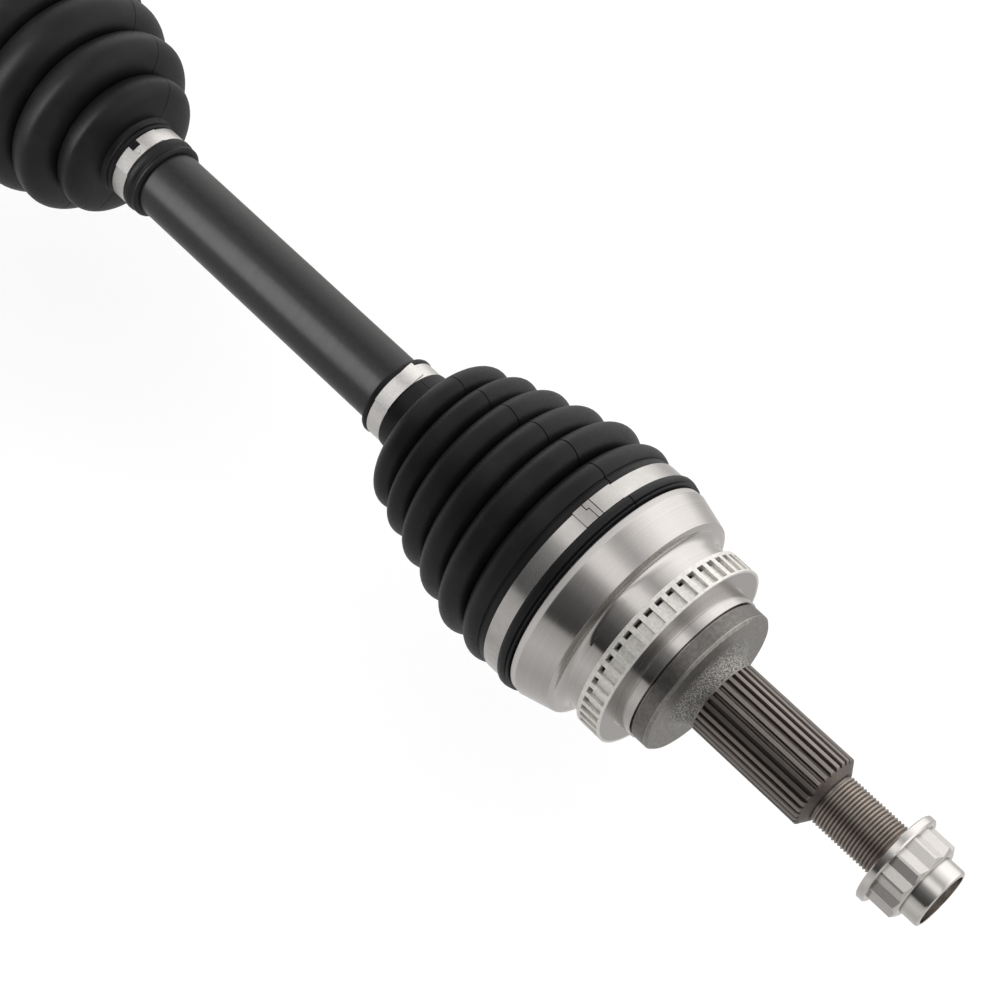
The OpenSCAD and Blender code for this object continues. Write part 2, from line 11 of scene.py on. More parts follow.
import bpy
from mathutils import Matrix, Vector


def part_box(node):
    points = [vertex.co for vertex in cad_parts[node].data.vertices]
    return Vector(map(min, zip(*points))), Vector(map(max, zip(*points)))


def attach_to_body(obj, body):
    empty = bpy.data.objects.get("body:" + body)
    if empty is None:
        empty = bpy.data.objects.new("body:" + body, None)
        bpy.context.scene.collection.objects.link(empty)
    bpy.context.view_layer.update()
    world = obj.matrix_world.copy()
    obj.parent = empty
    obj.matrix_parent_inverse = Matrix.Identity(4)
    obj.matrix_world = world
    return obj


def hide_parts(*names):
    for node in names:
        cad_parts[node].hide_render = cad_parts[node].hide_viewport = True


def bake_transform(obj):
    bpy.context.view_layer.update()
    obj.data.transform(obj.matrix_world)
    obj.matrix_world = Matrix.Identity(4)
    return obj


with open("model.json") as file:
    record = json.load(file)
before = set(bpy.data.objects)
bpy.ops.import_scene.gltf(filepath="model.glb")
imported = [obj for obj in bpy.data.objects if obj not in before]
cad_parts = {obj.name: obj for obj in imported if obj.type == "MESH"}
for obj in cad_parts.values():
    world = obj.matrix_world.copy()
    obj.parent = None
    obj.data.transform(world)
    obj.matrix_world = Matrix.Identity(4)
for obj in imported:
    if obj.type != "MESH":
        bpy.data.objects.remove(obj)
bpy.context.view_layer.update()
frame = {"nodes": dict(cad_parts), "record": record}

MM = 0.001
JOINT_X = {
    joint["name"]: joint["pos_m"][0] / MM
    for joint in frame["record"]["behaviour"]["joints"]
    if "pos_m" in joint
}
BALL_X = JOINT_X["outer_bend"]
TRIPOD_X = JOINT_X["inner_bend"]

# boots
BOOT_WALL = 2.2
SMALL_BORE = 15.06  # radius inside the cuffs that grip the bar
OUTER_VALLEY = 9.0  # depth of the valleys below the mean of the crests beside them
INNER_VALLEY = 9.3
OUTER_SEAMS = (-15, 165)  # angles of the two mould lines
INNER_SEAMS = (-49, 131)
SEAM_DEPTH = 0.35
SEAM_HALF = 0.35  # half of a seam's width, in degrees
LATHE_COLUMNS = 240

# band clamps: radius of the cuff below each, then heights above that cuff
BAR_SEAT = 16.7
BELL_SEAT = 50.1
HOUSING_SEAT = 50.4
BAND_BASE = 0.05
BAND_TOP = 0.75
BAND_EDGE = 0.12
LOCK_GAP = 0.02  # air between the band and the plates of its lock
LOCK_TOP = 0.55  # height of those plates above the band
LARGE_LOCK_ANGLE = -1.6


def span(node):
    """Lowest x, highest x and outer radius of a CAD node, in millimetres."""
    low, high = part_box(node)
    return low.x / MM, high.x / MM, -low.y / MM


# ---------------------------------------------------------------- meshes


def place(x, radius, angle):
    a = math.radians(angle)
    return Vector((x, -radius * math.sin(a), radius * math.cos(a))) * MM


def new_object(name, verts, faces, material, smooth_below=32):
    """Mesh object whose edges are sharp above an angle in degrees."""
    mesh = bpy.data.meshes.new(name)
    mesh.from_pydata([tuple(v) for v in verts], [], faces)
    mesh.validate()
    mesh.polygons.foreach_set("use_smooth", [True] * len(mesh.polygons))
    mesh.set_sharp_from_angle(angle=math.radians(smooth_below))
    mesh.materials.append(material)
    obj = bpy.data.objects.new(name, mesh)
    bpy.context.scene.collection.objects.link(obj)
    return obj


def columns(seams):
    """(angle, depth share) of each column: even steps, and three close columns at each seam."""
    step = 360 / LATHE_COLUMNS
    angles = [(i * step, 0) for i in range(LATHE_COLUMNS)]
    for seam in seams:
        seam %= 360
        angles = [a for a in angles if abs((a[0] - seam + 180) % 360 - 180) > step * 0.6]
        angles += [(seam - SEAM_HALF, 0), (seam, 1), (seam + SEAM_HALF, 0)]
    return sorted(angles)


def outward(outline):
    """Unit normals of an open outline of (x, radius) points, on its left as it is walked."""
    normals = []
    for i in range(len(outline)):
        a, b = outline[max(i - 1, 0)], outline[min(i + 1, len(outline) - 1)]
        dx, dr = b[0] - a[0], b[1] - a[1]
        length = math.hypot(dx, dr) or 1
        normals.append((-dr / length, dx / length))
    return normals


def lathe(name, outside, inside, material, seams=()):
    """Closed solid turned from two open outlines that both run in the direction of +X."""
    ring = outside + inside[::-1]
    normals = outward(outside) + [(0, 0)] * len(inside)
    cols = columns(seams)
    verts, faces = [], []
    for angle, share in cols:
        dent = SEAM_DEPTH * share
        for (x, r), (nx, nr) in zip(ring, normals):
            verts.append(place(x - nx * dent, r - nr * dent, angle))
    size = len(ring)
    for c in range(len(cols)):
        d = (c + 1) % len(cols)
        for i in range(size):
            j = (i + 1) % size
            faces.append((c * size + i, c * size + j, d * size + j, d * size + i))
    return new_object(name, verts, faces, material)


def plate(name, angles, xs, gaps, low, high, material, skew=None):
    """Curved plate between two radii, with an optional skew that moves x by angle.

    Cells (angle step, x step) of its grid that are named in gaps are left out.
    """
    widest = 2  # degrees between two columns of vertices
    fine = [angles[0]]
    owner = []
    for k in range(len(angles) - 1):
        parts = max(1, math.ceil((angles[k + 1] - angles[k]) / widest))
        for p in range(parts):
            fine.append(angles[k] + (angles[k + 1] - angles[k]) * (p + 1) / parts)
            owner.append(k)
    rows = len(xs)
    verts = []
    for r in (low, high):
        for a in fine:
            for x in xs:
                verts.append(place(skew(x, a) if skew else x, r, a))

    def at(layer, c, row):
        return layer * len(fine) * rows + c * rows + row

    def kept(c, row):
        return 0 <= c < len(owner) and 0 <= row < rows - 1 and (owner[c], row) not in gaps

    faces = []
    for c in range(len(owner)):
        for row in range(rows - 1):
            if not kept(c, row):
                continue
            corners = [(c, row), (c, row + 1), (c + 1, row + 1), (c + 1, row)]
            faces.append([at(1, *k) for k in corners])
            faces.append([at(0, *k) for k in reversed(corners)])
            sides = [((c - 1, row), 0), ((c, row + 1), 1), ((c + 1, row), 2), ((c, row - 1), 3)]
            for neighbour, k in sides:
                if kept(*neighbour):
                    continue
                p, q = corners[k], corners[(k + 1) % 4]
                faces.append([at(1, *p), at(0, *p), at(0, *q), at(1, *q)])
    used = sorted({v for f in faces for v in f})
    index = {v: i for i, v in enumerate(used)}
    faces = [[index[v] for v in f] for f in faces]
    return new_object(name, [verts[v] for v in used], faces, material)


def round_edges(obj, width):
    bevel = obj.modifiers.new("edges", "BEVEL")
    bevel.width = width * MM
    bevel.segments = 1
    bevel.limit_method = "ANGLE"
    bevel.angle_limit = math.radians(40)


# ---------------------------------------------------------------- node trees


class Nodes:
    """A node tree being built."""

    def __init__(self, tree):
        self.tree = tree
        tree.nodes.clear()

    def feed(self, socket, value):
        if isinstance(value, bpy.types.NodeSocket):
            self.tree.links.new(value, socket)
        elif value is not None:
            socket.default_value = value

    def add(self, kind, **inputs):
        """New node; a space in the name of an input is written as an underscore."""
        node = self.tree.nodes.new(kind)
        for name, value in inputs.items():
            self.feed(node.inputs[name.replace("_", " ")], value)
        return node

    def math(self, operation, a, b=None):
        node = self.tree.nodes.new("ShaderNodeMath")
        node.operation = operation
        for socket, value in zip(node.inputs, (a, b)):
            self.feed(socket, value)
        return node.outputs[0]


class Shader(Nodes):
    """A material being built. x, y, z and radius are millimetres, in the frame at rest."""

    def __init__(self, name):
        self.material = bpy.data.materials.new(name)
        self.material.use_nodes = True
        super().__init__(self.material.node_tree)
        self.bsdf = self.add("ShaderNodeBsdfPrincipled")
        self.add("ShaderNodeOutputMaterial", Surface=self.bsdf.outputs[0])
        scaled = self.add("ShaderNodeVectorMath")
        scaled.operation = "SCALE"
        self.feed(scaled.inputs[0], self.add("ShaderNodeTexCoord").outputs["Object"])
        self.feed(scaled.inputs["Scale"], 1 / MM)
        self.mm = scaled.outputs[0]
        self.x, self.y, self.z = self.add("ShaderNodeSeparateXYZ", Vector=self.mm).outputs
        yy, zz = self.math("MULTIPLY", self.y, self.y), self.math("MULTIPLY", self.z, self.z)
        self.radius = self.math("SQRT", self.math("ADD", yy, zz))
        self.angle = self.math("ARCTAN2", self.y, self.z)
        self.normal = None

    def join(self, x, y, z):
        return self.add("ShaderNodeCombineXYZ", X=x, Y=y, Z=z).outputs[0]

    def noise(self, scale, detail=3, roughness=0.55, vector=None):
        return self.add("ShaderNodeTexNoise", Vector=vector or self.mm, Scale=scale, Detail=detail,
                        Roughness=roughness).outputs[0]

    def turned(self, across, along, detail=2):
        """Noise drawn out round the axle, like the marks of a lathe tool."""
        arc = self.math("MULTIPLY", self.angle, 30 * along)
        return self.noise(1, detail, 0.6, self.join(
            self.math("MULTIPLY", self.x, across), arc, self.math("MULTIPLY", self.radius, across)))

    def between(self, value, low, high, a=0.0, b=1.0):
        """Goes smoothly from a to b as value goes from low to high."""
        node = self.add("ShaderNodeMapRange", Value=value)
        node.interpolation_type = "SMOOTHSTEP"
        node.clamp = True
        for name, v in (("From Min", low), ("From Max", high), ("To Min", a), ("To Max", b)):
            self.feed(node.inputs[name], v)
        return node.outputs[0]

    def above(self, value, limit, soft=0.3):
        """1 where value lies above the limit."""
        return self.between(value, limit - soft, limit + soft)

    def below(self, value, limit, soft=0.3):
        """1 where value lies below the limit."""
        return self.between(value, limit - soft, limit + soft, 1.0, 0.0)

    def zone(self, value, low, high, soft=0.3):
        """1 where value lies between low and high."""
        return self.math("MULTIPLY", self.above(value, low, soft), self.below(value, high, soft))

    def mix(self, share, a, b):
        """Colour that goes from a to b as share goes from 0 to 1."""
        node = self.tree.nodes.new("ShaderNodeMix")
        node.data_type = "RGBA"
        node.clamp_factor = True
        self.feed(node.inputs[0], share)
        for socket, value in ((node.inputs[6], a), (node.inputs[7], b)):
            self.feed(socket, value if isinstance(value, bpy.types.NodeSocket) else (*value, 1))
        return node.outputs[2]

    def mottled(self, noise, a, b, low=0.35, high=0.7):
        """Two colours spread in patches by a noise."""
        return self.mix(self.between(noise, low, high), a, b)

    def with_painted_shade(self, colour, unshaded, dark, share):
        """Painted shade: darkens a colour where the mask is 0."""
        return self.mix(unshaded, self.mix(share, colour, dark), colour)

    def blend(self, share, a, b):
        """Number that goes from a to b as share goes from 0 to 1."""
        return self.math("ADD", a, self.math("MULTIPLY", share, self.math("SUBTRACT", b, a)))

    def hollow(self, distance):
        """Goes to 0 in a slot or corner narrower than distance; it masks the painted shade."""
        node = self.add("ShaderNodeAmbientOcclusion", Distance=distance * MM)
        node.samples = 6
        return node.outputs["AO"]

    def bump(self, height, depth):
        """Adds relief of depth millimetres to the surface."""
        node = self.add("ShaderNodeBump", Height=height, Distance=depth * MM, Strength=1.0,
                        Normal=self.normal)
        self.normal = node.outputs[0]

    def brushed_round(self, amount):
        """Spreads reflections along the axle, as marks that run round it do.

        Faces square to the axle have no such direction, so it fades out on them.
        """
        normal = self.add("ShaderNodeTexCoord").outputs["Normal"]
        square = self.math("ABSOLUTE", self.add("ShaderNodeSeparateXYZ", Vector=normal).outputs[0])
        self.feed(self.bsdf.inputs["Anisotropic"], self.between(square, 0.75, 0.95, amount, 0.0))
        along_axle = self.join(1.0, 0.02, 0.013)
        self.feed(self.bsdf.inputs["Tangent"], along_axle)

    def soft_edges(self, radius):
        node = self.add("ShaderNodeBevel", Radius=radius * MM)
        node.samples = 4
        self.normal = node.outputs[0]

    def finish(self, **inputs):
        """Sets inputs of the surface and returns the material."""
        for name, value in inputs.items():
            self.feed(self.bsdf.inputs[name.replace("_", " ")], value)
        self.feed(self.bsdf.inputs["Normal"], self.normal)
        return self.material


# ---------------------------------------------------------------- materials

# colours of the painted shade in narrow corners and hollows
HOLLOW_SHADE = (0.03, 0.027, 0.025)
BAND_SHADOW = (0.04, 0.037, 0.035)

# the wheel-end forging, by distance along the axle
LEAD_END = -50.5
NECK = (-35, -26.5)
JOURNAL = (-15, -8.5)
SEAL_LINE = (-12.3, -11.9)
FORGED_BAND = (-7.2, -1.2)
HUB_FACE = (-1.1, 6.95)
HUB_SPLINE = (7.0, 61.5)
UNSHADED_CORNER = (-41, -29)
WRENCH_FACES = (95.2, 105.6)


def rubber():
    """Moulded chloroprene: satin black with a faint bloom and fine pores."""
    s = Shader("boot_rubber_moulded")
    bloom = s.noise(0.06, 4, 0.6)
    pores = s.noise(6.5, 2, 0.5)
    smears = s.noise(0.9, 5, 0.7)
    colour = s.mottled(bloom, (0.0042, 0.0043, 0.0050), (0.0078, 0.0077, 0.0085), 0.4, 0.72)
    rough = s.blend(s.between(smears, 0.35, 0.7), 0.38, 0.50)
    s.bump(pores, 0.018)
    s.bump(smears, 0.03)
    return s.finish(Base_Color=colour, Roughness=rough, Specular_IOR_Level=0.25)


def bar_paint():
    """Satin black paint over a turned bar, with the turning just showing through."""
    s = Shader("satin_black_paint")
    marks = s.turned(2.2, 0.03)
    peel = s.noise(0.9, 3, 0.5)
    colour = s.mottled(peel, (0.0075, 0.0068, 0.0071), (0.0115, 0.0104, 0.0107))
    rough = s.blend(s.between(marks, 0.3, 0.7), 0.28, 0.36)
    s.bump(marks, 0.004)
    s.bump(peel, 0.012)
    return s.finish(Base_Color=colour, Roughness=rough, Specular_IOR_Level=0.36)


def turned_steel(name, low, high):
    """Bright steel with fine lathe marks; low and high are its darkest and lightest tint."""
    s = Shader(name)
    s.soft_edges(0.15)
    fine = s.turned(6, 0.015, 3)
    haze = s.noise(0.06, 4, 0.6)
    colour = s.mottled(fine, low, high, 0.3, 0.7)
    marks = s.math("ADD", fine, s.math("MULTIPLY", haze, 0.6))
    rough = s.blend(s.between(marks, 0.5, 1.1), 0.17, 0.27)
    s.bump(fine, 0.0025)
    return s, colour, rough


def bell_steel():
    """The wheel-end forging: turned bell, rough band and face, oily spline and fine thread."""
    s, colour, rough = turned_steel("forged_steel_bell", (0.535, 0.515, 0.50), (0.60, 0.58, 0.565))
    s.brushed_round(0.75)
    grain = s.noise(1.7, 4, 0.8)
    pits = s.noise(0.55, 5, 0.65)

    # the neck and the journal are ground, and the lead-in under the boot is left rough
    ground = s.math("MAXIMUM", s.zone(s.x, *NECK, 1.0), s.zone(s.x, *JOURNAL))
    rough = s.blend(ground, rough, 0.14)
    lead = s.below(s.x, LEAD_END)
    rough = s.blend(lead, rough, 0.45)

    # line that the seal has worn on its journal
    wear = s.math("MULTIPLY", s.zone(s.x, *SEAL_LINE, 0.2), s.between(s.noise(0.05), 0.4, 0.6))
    colour = s.mix(s.math("MULTIPLY", wear, 0.45), colour, (0.20, 0.19, 0.185))

    # forged band round the hub side, and the face inside it with its grainy fillet
    band = s.math("MULTIPLY", s.zone(s.x, *FORGED_BAND, 0.2), s.above(s.radius, 30.5, 0.5))
    face = s.zone(s.x, *HUB_FACE, 0.15)
    fillet = s.math("MULTIPLY", face, s.below(s.radius, 21.25, 1.75))
    forged = s.mottled(pits, (0.135, 0.128, 0.122), (0.19, 0.18, 0.172), 0.4, 0.6)
    colour = s.mix(s.math("MULTIPLY", band, 0.9), colour, forged)
    colour = s.mix(face, colour,
                   s.mottled(pits, (0.25, 0.24, 0.23), (0.34, 0.325, 0.31), 0.4, 0.65))
    colour = s.mix(fillet, colour,
                   s.mottled(grain, (0.13, 0.124, 0.118), (0.54, 0.53, 0.51), 0.44, 0.60))
    skin = s.math("MAXIMUM", band, face)
    rough = s.blend(skin, rough, s.blend(fillet, 0.44, 0.38))

    # spline: phosphated, so darker and brownish, worn a little lighter on the tips of the teeth
    spline = s.math("MULTIPLY", s.zone(s.x, *HUB_SPLINE, 0.5), s.below(s.radius, 17.1, 0.9))
    tips = s.between(s.radius, 14.6, 15.7)
    streaks = s.noise(1, 3, 0.6, s.join(s.math("MULTIPLY", s.x, 0.12), s.math("MULTIPLY", s.y, 3.0),
                                        s.math("MULTIPLY", s.z, 3.0)))
    worn = s.math("MULTIPLY", s.between(streaks, 0.5, 0.72), 0.6)
    tooth = s.mix(tips, (0.16, 0.140, 0.128), (0.29, 0.262, 0.245))
    colour = s.mix(spline, colour, s.mix(worn, tooth, (0.40, 0.370, 0.345)))
    rough = s.blend(spline, rough, 0.52)

    # thread: the same brown, with lighter crests
    thread = s.math("MULTIPLY", s.above(s.x, HUB_SPLINE[1], 0.5), s.below(s.radius, 11.8, 0.2))
    crest = s.between(s.radius, 10.3, 10.95)
    colour = s.mix(thread, colour, s.mix(crest, (0.27, 0.225, 0.195), (0.56, 0.51, 0.465)))
    rough = s.blend(thread, rough, 0.50)

    # painted shade: darkens narrow corners and hollows, but not the corner by the neck
    unshaded = s.math("MAXIMUM", s.between(s.hollow(1.2), 0.25, 0.8), s.zone(s.x, *UNSHADED_CORNER))
    colour = s.with_painted_shade(colour, unshaded, HOLLOW_SHADE, 0.6)
    coarse = s.blend(fillet, s.math("MULTIPLY", skin, 0.35), 1.0)
    s.bump(s.math("MULTIPLY", grain, coarse), 0.30)
    s.bump(s.math("MULTIPLY", streaks, s.math("MAXIMUM", spline, thread)), 0.03)
    return s.finish(Base_Color=colour, Metallic=s.blend(lead, 1.0, 0.5), Roughness=rough)


def ring_metal():
    """Dull-plated tone ring, light on its ridges and floors, with painted shade in its windows and
    corners.
    """
    s = Shader("tone_ring_plating")
    s.soft_edges(0.12)
    mottle = s.noise(0.8, 4, 0.65)
    colour = s.mottled(mottle, (0.68, 0.665, 0.63), (0.82, 0.805, 0.77), 0.35, 0.65)
    _, face_x, _ = span("abs_tone_ring")
    # painted shade: the deep windows are coloured dark
    window_shade = s.math("MULTIPLY", s.below(s.radius, 39.2, 0.8), s.below(s.x, face_x - 0.65, 0.25))
    colour = s.mix(window_shade, colour, (0.12, 0.108, 0.098))
    face = s.math("MULTIPLY", s.above(s.x, face_x - 0.2, 0.1), s.below(s.radius, 41.1, 0.2))
    colour = s.mix(face, colour, (0.43, 0.415, 0.40))
    # painted shade in the slots and corners
    unshaded = s.between(s.hollow(0.5), 0.3, 0.75)
    colour = s.with_painted_shade(colour, unshaded, (0.06, 0.055, 0.05), 0.7)
    s.bump(s.noise(4, 3, 0.6), 0.02)
    return s.finish(Base_Color=colour, Metallic=s.blend(face, 0.75, 1.0),
                    Roughness=s.blend(face, s.blend(mottle, 0.44, 0.60), 0.30))


def nut_plating():
    """Satin plating, a little rougher on the wrench faces than on the turned flange and collar."""
    s = Shader("satin_nickel_nut")
    s.soft_edges(0.22)
    mottle = s.noise(2.6, 4, 0.7)
    faces = s.math("MULTIPLY", s.zone(s.x, *WRENCH_FACES), s.above(s.radius, 13.65, 0.25))
    colour = s.mix(s.math("MULTIPLY", s.between(mottle, 0.35, 0.7), faces), (0.68, 0.66, 0.64),
                   (0.58, 0.56, 0.545))
    # painted shade in corners and hollows
    colour = s.with_painted_shade(colour, s.between(s.hollow(1.5), 0.3, 0.9), (0.04, 0.036, 0.033), 0.75)
    s.bump(s.math("MULTIPLY", mottle, faces), 0.04)
    s.bump(s.turned(6, 0.03), 0.002)
    return s.finish(Base_Color=colour, Metallic=1.0, Roughness=s.blend(faces, 0.17, 0.30))


def band_metal():
    """Rolled stainless band: satin, with faint lines along the band."""
    s = Shader("rolled_stainless_band")
    s.brushed_round(0.6)
    lines = s.turned(5, 0.03)
    smudge = s.noise(0.12, 4, 0.6)
    colour = s.mottled(smudge, (0.49, 0.475, 0.462), (0.56, 0.545, 0.53))
    colour = s.with_painted_shade(colour, s.between(s.hollow(0.8), 0.3, 0.9), BAND_SHADOW, 0.75)
    s.bump(lines, 0.003)
    return s.finish(Base_Color=colour, Metallic=0.92, Roughness=s.blend(lines, 0.17, 0.25))


def small_band_metal():
    """Thin satin band, a little paler and duller than the large ones."""
    s = Shader("satin_stainless_band")
    s.brushed_round(0.5)
    mottle = s.noise(1.1, 4, 0.65)
    colour = s.mottled(mottle, (0.60, 0.585, 0.57), (0.70, 0.685, 0.67))
    colour = s.with_painted_shade(colour, s.between(s.hollow(0.8), 0.3, 0.9), BAND_SHADOW, 0.75)
    s.bump(s.turned(5, 0.03), 0.003)
    s.bump(mottle, 0.01)
    return s.finish(Base_Color=colour, Metallic=0.85, Roughness=s.blend(mottle, 0.28, 0.40))


def joint_metal(name, low, high, rough, marks=0.01):
    """Hidden joint parts: hardened, ground and wetted with grease."""
    s = Shader(name)
    stain = s.noise(0.35, 4, 0.65)
    colour = s.mottled(stain, low, high)
    s.bump(s.noise(7, 2, 0.6), marks)
    return s.finish(Base_Color=colour, Metallic=1.0, Roughness=s.blend(stain, rough, rough + 0.12),
                    Coat_Weight=0.3, Coat_Roughness=0.12)


def housing_steel():
    """Tripod housing: turned ends, forged skin in the hollows between the tracks."""
    s, colour, rough = turned_steel("forged_steel_housing", (0.50, 0.485, 0.47),
                                    (0.57, 0.55, 0.535))
    pits = s.noise(0.6, 5, 0.65)
    hollows = s.math("MULTIPLY", s.zone(s.x, TRIPOD_X - 44, TRIPOD_X + 12, 0.6),
                     s.below(s.radius, 49.3))
    ends = s.zone(s.x, TRIPOD_X - 60, TRIPOD_X - 40, 1.5)
    skin = s.math("MAXIMUM", hollows, s.math("MULTIPLY", ends, 0.8))
    colour = s.mix(skin, colour, s.mix(pits, (0.15, 0.14, 0.135), (0.33, 0.31, 0.295)))
    rough = s.blend(skin, rough, 0.5)

    # gearbox spline, with its tips worn lighter
    spline = s.below(s.x, TRIPOD_X - 78, 1.0)
    tips = s.math("MULTIPLY", s.below(s.x, TRIPOD_X - 76, 1.0), s.above(s.radius, 13.15, 0.55))
    colour = s.mix(spline, colour, s.mix(tips, (0.09, 0.077, 0.067), (0.38, 0.34, 0.305)))
    # painted shade in narrow corners and hollows
    colour = s.with_painted_shade(colour, s.between(s.hollow(2.5), 0.35, 0.95), HOLLOW_SHADE, 0.6)
    s.bump(s.math("MULTIPLY", s.noise(2.2, 4, 0.7), skin), 0.10)
    return s.finish(Base_Color=colour, Metallic=1.0, Roughness=rough)


def floor_paint():
    s = Shader("pale_floor")
    shade = s.noise(0.002, 2, 0.5)
    colour = s.mix(shade, (0.96, 0.96, 0.96), (0.975, 0.975, 0.975))
    return s.finish(Base_Color=colour, Roughness=0.9, Specular_IOR_Level=0.2)


# ---------------------------------------------------------------- boots


def rib(left, crest, right):
    """Round rib from one valley over its crest to the next, as (x, radius) points."""
    steps, flank = 13, 88
    points = []
    for i in range(-steps, steps + 1):
        a = math.radians(flank * i / steps)
        foot = left if i < 0 else right
        x = crest[0] + abs(foot[0] - crest[0]) * math.sin(a)
        points.append((x, foot[1] + (crest[1] - foot[1]) * math.cos(a)))
    return points


def valley(crest, following, depth):
    """Lowest point between two crests: depth below their mean."""
    return (crest[0] + following[0]) / 2, (crest[1] + following[1]) / 2 - depth


def rib_row(first, crests, last, depth):
    """Row of ribs between two feet, with valleys of one depth."""
    feet = [first, *(valley(a, b, depth) for a, b in zip(crests, crests[1:])), last]
    points = []
    for i, crest in enumerate(crests):
        points += rib(feet[i], crest, feet[i + 1])
    return points


def lowered(points):
    """The points on the inner side of the rubber."""
    return [(x, r - BOOT_WALL) for x, r in points]


def from_joint(joint_x, side, points):
    """Points given as distances from a joint centre, as x along the axle, in rising order."""
    placed = [(joint_x + side * d, r) for d, r in points]
    return placed if placed[0][0] < placed[-1][0] else placed[::-1]


def bend_between(skin):
    """Bakes the skin's placement into its mesh."""
    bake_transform(skin)


def outer_boot(material):
    """Six ribs between a cuff on the bar and a cuff on the bell."""
    ribs = from_joint(BALL_X, -1, [(90.1, 34.6), (78.4, 38.9), (64.8, 43.1), (50, 47.2),
                                   (35.4, 51.2), (20.5, 52.2)])
    bar_cuff = from_joint(BALL_X, -1, [
        (118.5, 15.6), (118.4, 16.6), (117.9, 17.5), (117.2, 17.85), (116.2, 17.85), (115.6, 17.5),
        (115.4, 17.1), (115.35, 16.7), (108.25, 16.7), (108.2, 17.2), (107.9, 17.7), (107, 17.85),
        (102, 18.05), (99.4, 18.3)])
    bell_cuff = from_joint(BALL_X, -1, [
        (16.45, 50.3), (16.1, 50.05), (15.8, 50.35), (13.5, 50.45), (13.2, 50.3), (13.15, 50.1),
        (5.45, 50.1), (5.4, 50.8), (5.1, 51.5), (4.5, 51.85), (3.4, 51.9), (2.6, 51.75),
        (2.1, 51.3), (1.9, 50.7), (1.7, 50.45), (1.5, 50.7), (1.3, 51.1), (1.05, 51.3),
        (0.8, 51.1), (0.65, 50.6), (0.6, 49.6)])
    row = rib_row((BALL_X - 98.9, 18.4), ribs, (BALL_X - 16.6, 50.2), OUTER_VALLEY)
    inside = (from_joint(BALL_X, -1, [(118.5, SMALL_BORE), (103.5, SMALL_BORE), (100.5, 15.7)])
              + [p for p in lowered(row)[1:] if p[0] < BALL_X - 17.6]
              + from_joint(BALL_X, -1, [(17.4, 48.06), (0.6, 48.06)]))
    boot = lathe("outer_boot_skin", bar_cuff + row + bell_cuff, inside, material, OUTER_SEAMS)
    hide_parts("outer_boot")
    bend_between(boot)


def inner_boot(material):
    """Two pieces that meet in a valley, each baked in place."""
    ribs = from_joint(TRIPOD_X, 1, [(47.5, 54.2), (65.5, 53), (86, 48.4), (107.1, 42.9),
                                    (123.1, 32.9)])
    housing_cuff = from_joint(TRIPOD_X, 1, [
        (22.6, 49.4), (22.7, 50.6), (23.1, 51.5), (23.9, 52.1), (24.7, 52.15), (25.2, 51.7),
        (25.4, 51.0), (25.45, 50.4), (33.15, 50.4), (33.2, 50.7), (33.5, 50.85), (39.4, 50.9),
        (40.0, 50.7), (40.3, 50.6)])
    bar_cuff = from_joint(TRIPOD_X, 1, [
        (129.9, 18.2), (130.9, 17.5), (131.6, 17.35), (132.3, 17.7), (133.0, 17.75), (133.5, 17.4),
        (133.9, 17.15), (134.4, 17.45), (134.9, 17.45), (135.2, 17.1), (135.25, 16.7),
        (142.35, 16.7), (142.4, 17.1), (142.8, 17.6), (143.8, 17.8), (145.2, 17.7), (146.0, 17.2),
        (146.5, 16.8), (147.0, 16.7), (147.4, 17.0), (148.0, 17.35), (148.7, 17.3), (149.3, 16.8),
        (149.7, 15.9)])
    row = rib_row((TRIPOD_X + 40.5, 50.6), ribs, (TRIPOD_X + 129.5, 18.2), INNER_VALLEY)
    wall = lowered(row)
    cut = valley(ribs[1], ribs[2], INNER_VALLEY)
    cut_x = cut[0]
    wide = housing_cuff + [p for p in row if p[0] < cut_x] + [cut]
    narrow = [cut] + [p for p in row if p[0] > cut_x] + bar_cuff
    wide_in = (from_joint(TRIPOD_X, 1, [(22.6, 48.36), (40.6, 48.36)])
               + [p for p in wall if TRIPOD_X + 41 < p[0] < cut_x] + lowered([cut]))
    narrow_in = (lowered([cut]) + [p for p in wall[:-1] if p[0] > cut_x]
                 + from_joint(TRIPOD_X, 1, [(130.5, 15.5), (132.5, SMALL_BORE),
                                            (149.7, SMALL_BORE)]))
    near = lathe("inner_boot_skin_bar", narrow, narrow_in, material, INNER_SEAMS)
    far = lathe("inner_boot_skin_housing", wide, wide_in, material, INNER_SEAMS)
    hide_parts("inner_boot")
    bend_between(near)
    bend_between(far)


# ---------------------------------------------------------------- band clamps


def attach(piece, body):
    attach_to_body(piece, body)


def clamp(name, node, body, seat, material, angles, cuts, gaps=frozenset(), skew=None):
    """Closed band on a cuff of radius seat, with the plate of its lock on top.

    angles and cuts are the grid of that plate: degrees, and shares of the band's width.
    """
    x0, x1, _ = span(node)
    base, top = seat + BAND_BASE, seat + BAND_TOP
    outline = [(x0, base), (x0, top - BAND_EDGE), (x0 + BAND_EDGE, top), (x1 - BAND_EDGE, top),
               (x1, top - BAND_EDGE), (x1, base)]
    band = lathe(name, outline, [(x0 + BAND_EDGE, base), (x1 - BAND_EDGE, base)], material)
    xs = [x0 + (x1 - x0) * c for c in cuts]
    lock = plate(f"{name}_lock_1", angles, xs, gaps, top + LOCK_GAP, top + LOCK_TOP, material, skew)
    round_edges(lock, BAND_EDGE / 2)
    for piece in (band, lock):
        attach(piece, body)
    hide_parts(node)


def large_clamp(name, node, body, seat, material):
    """The plate of its lock has a straight cut across it and a hooked one beside that."""
    steps = (-11.5, -0.15, 0.15, 2.6, 2.9, 3.9, 4.25, 9.2)
    straight_cut = {(1, 0), (1, 1), (1, 2)}
    hooked_cut = {(5, 0), (5, 1), (4, 1), (3, 1), (3, 2)}
    clamp(name, node, body, seat, material, [LARGE_LOCK_ANGLE + step for step in steps],
          [-0.03, 0.30, 0.345, 1.0], straight_cut | hooked_cut)


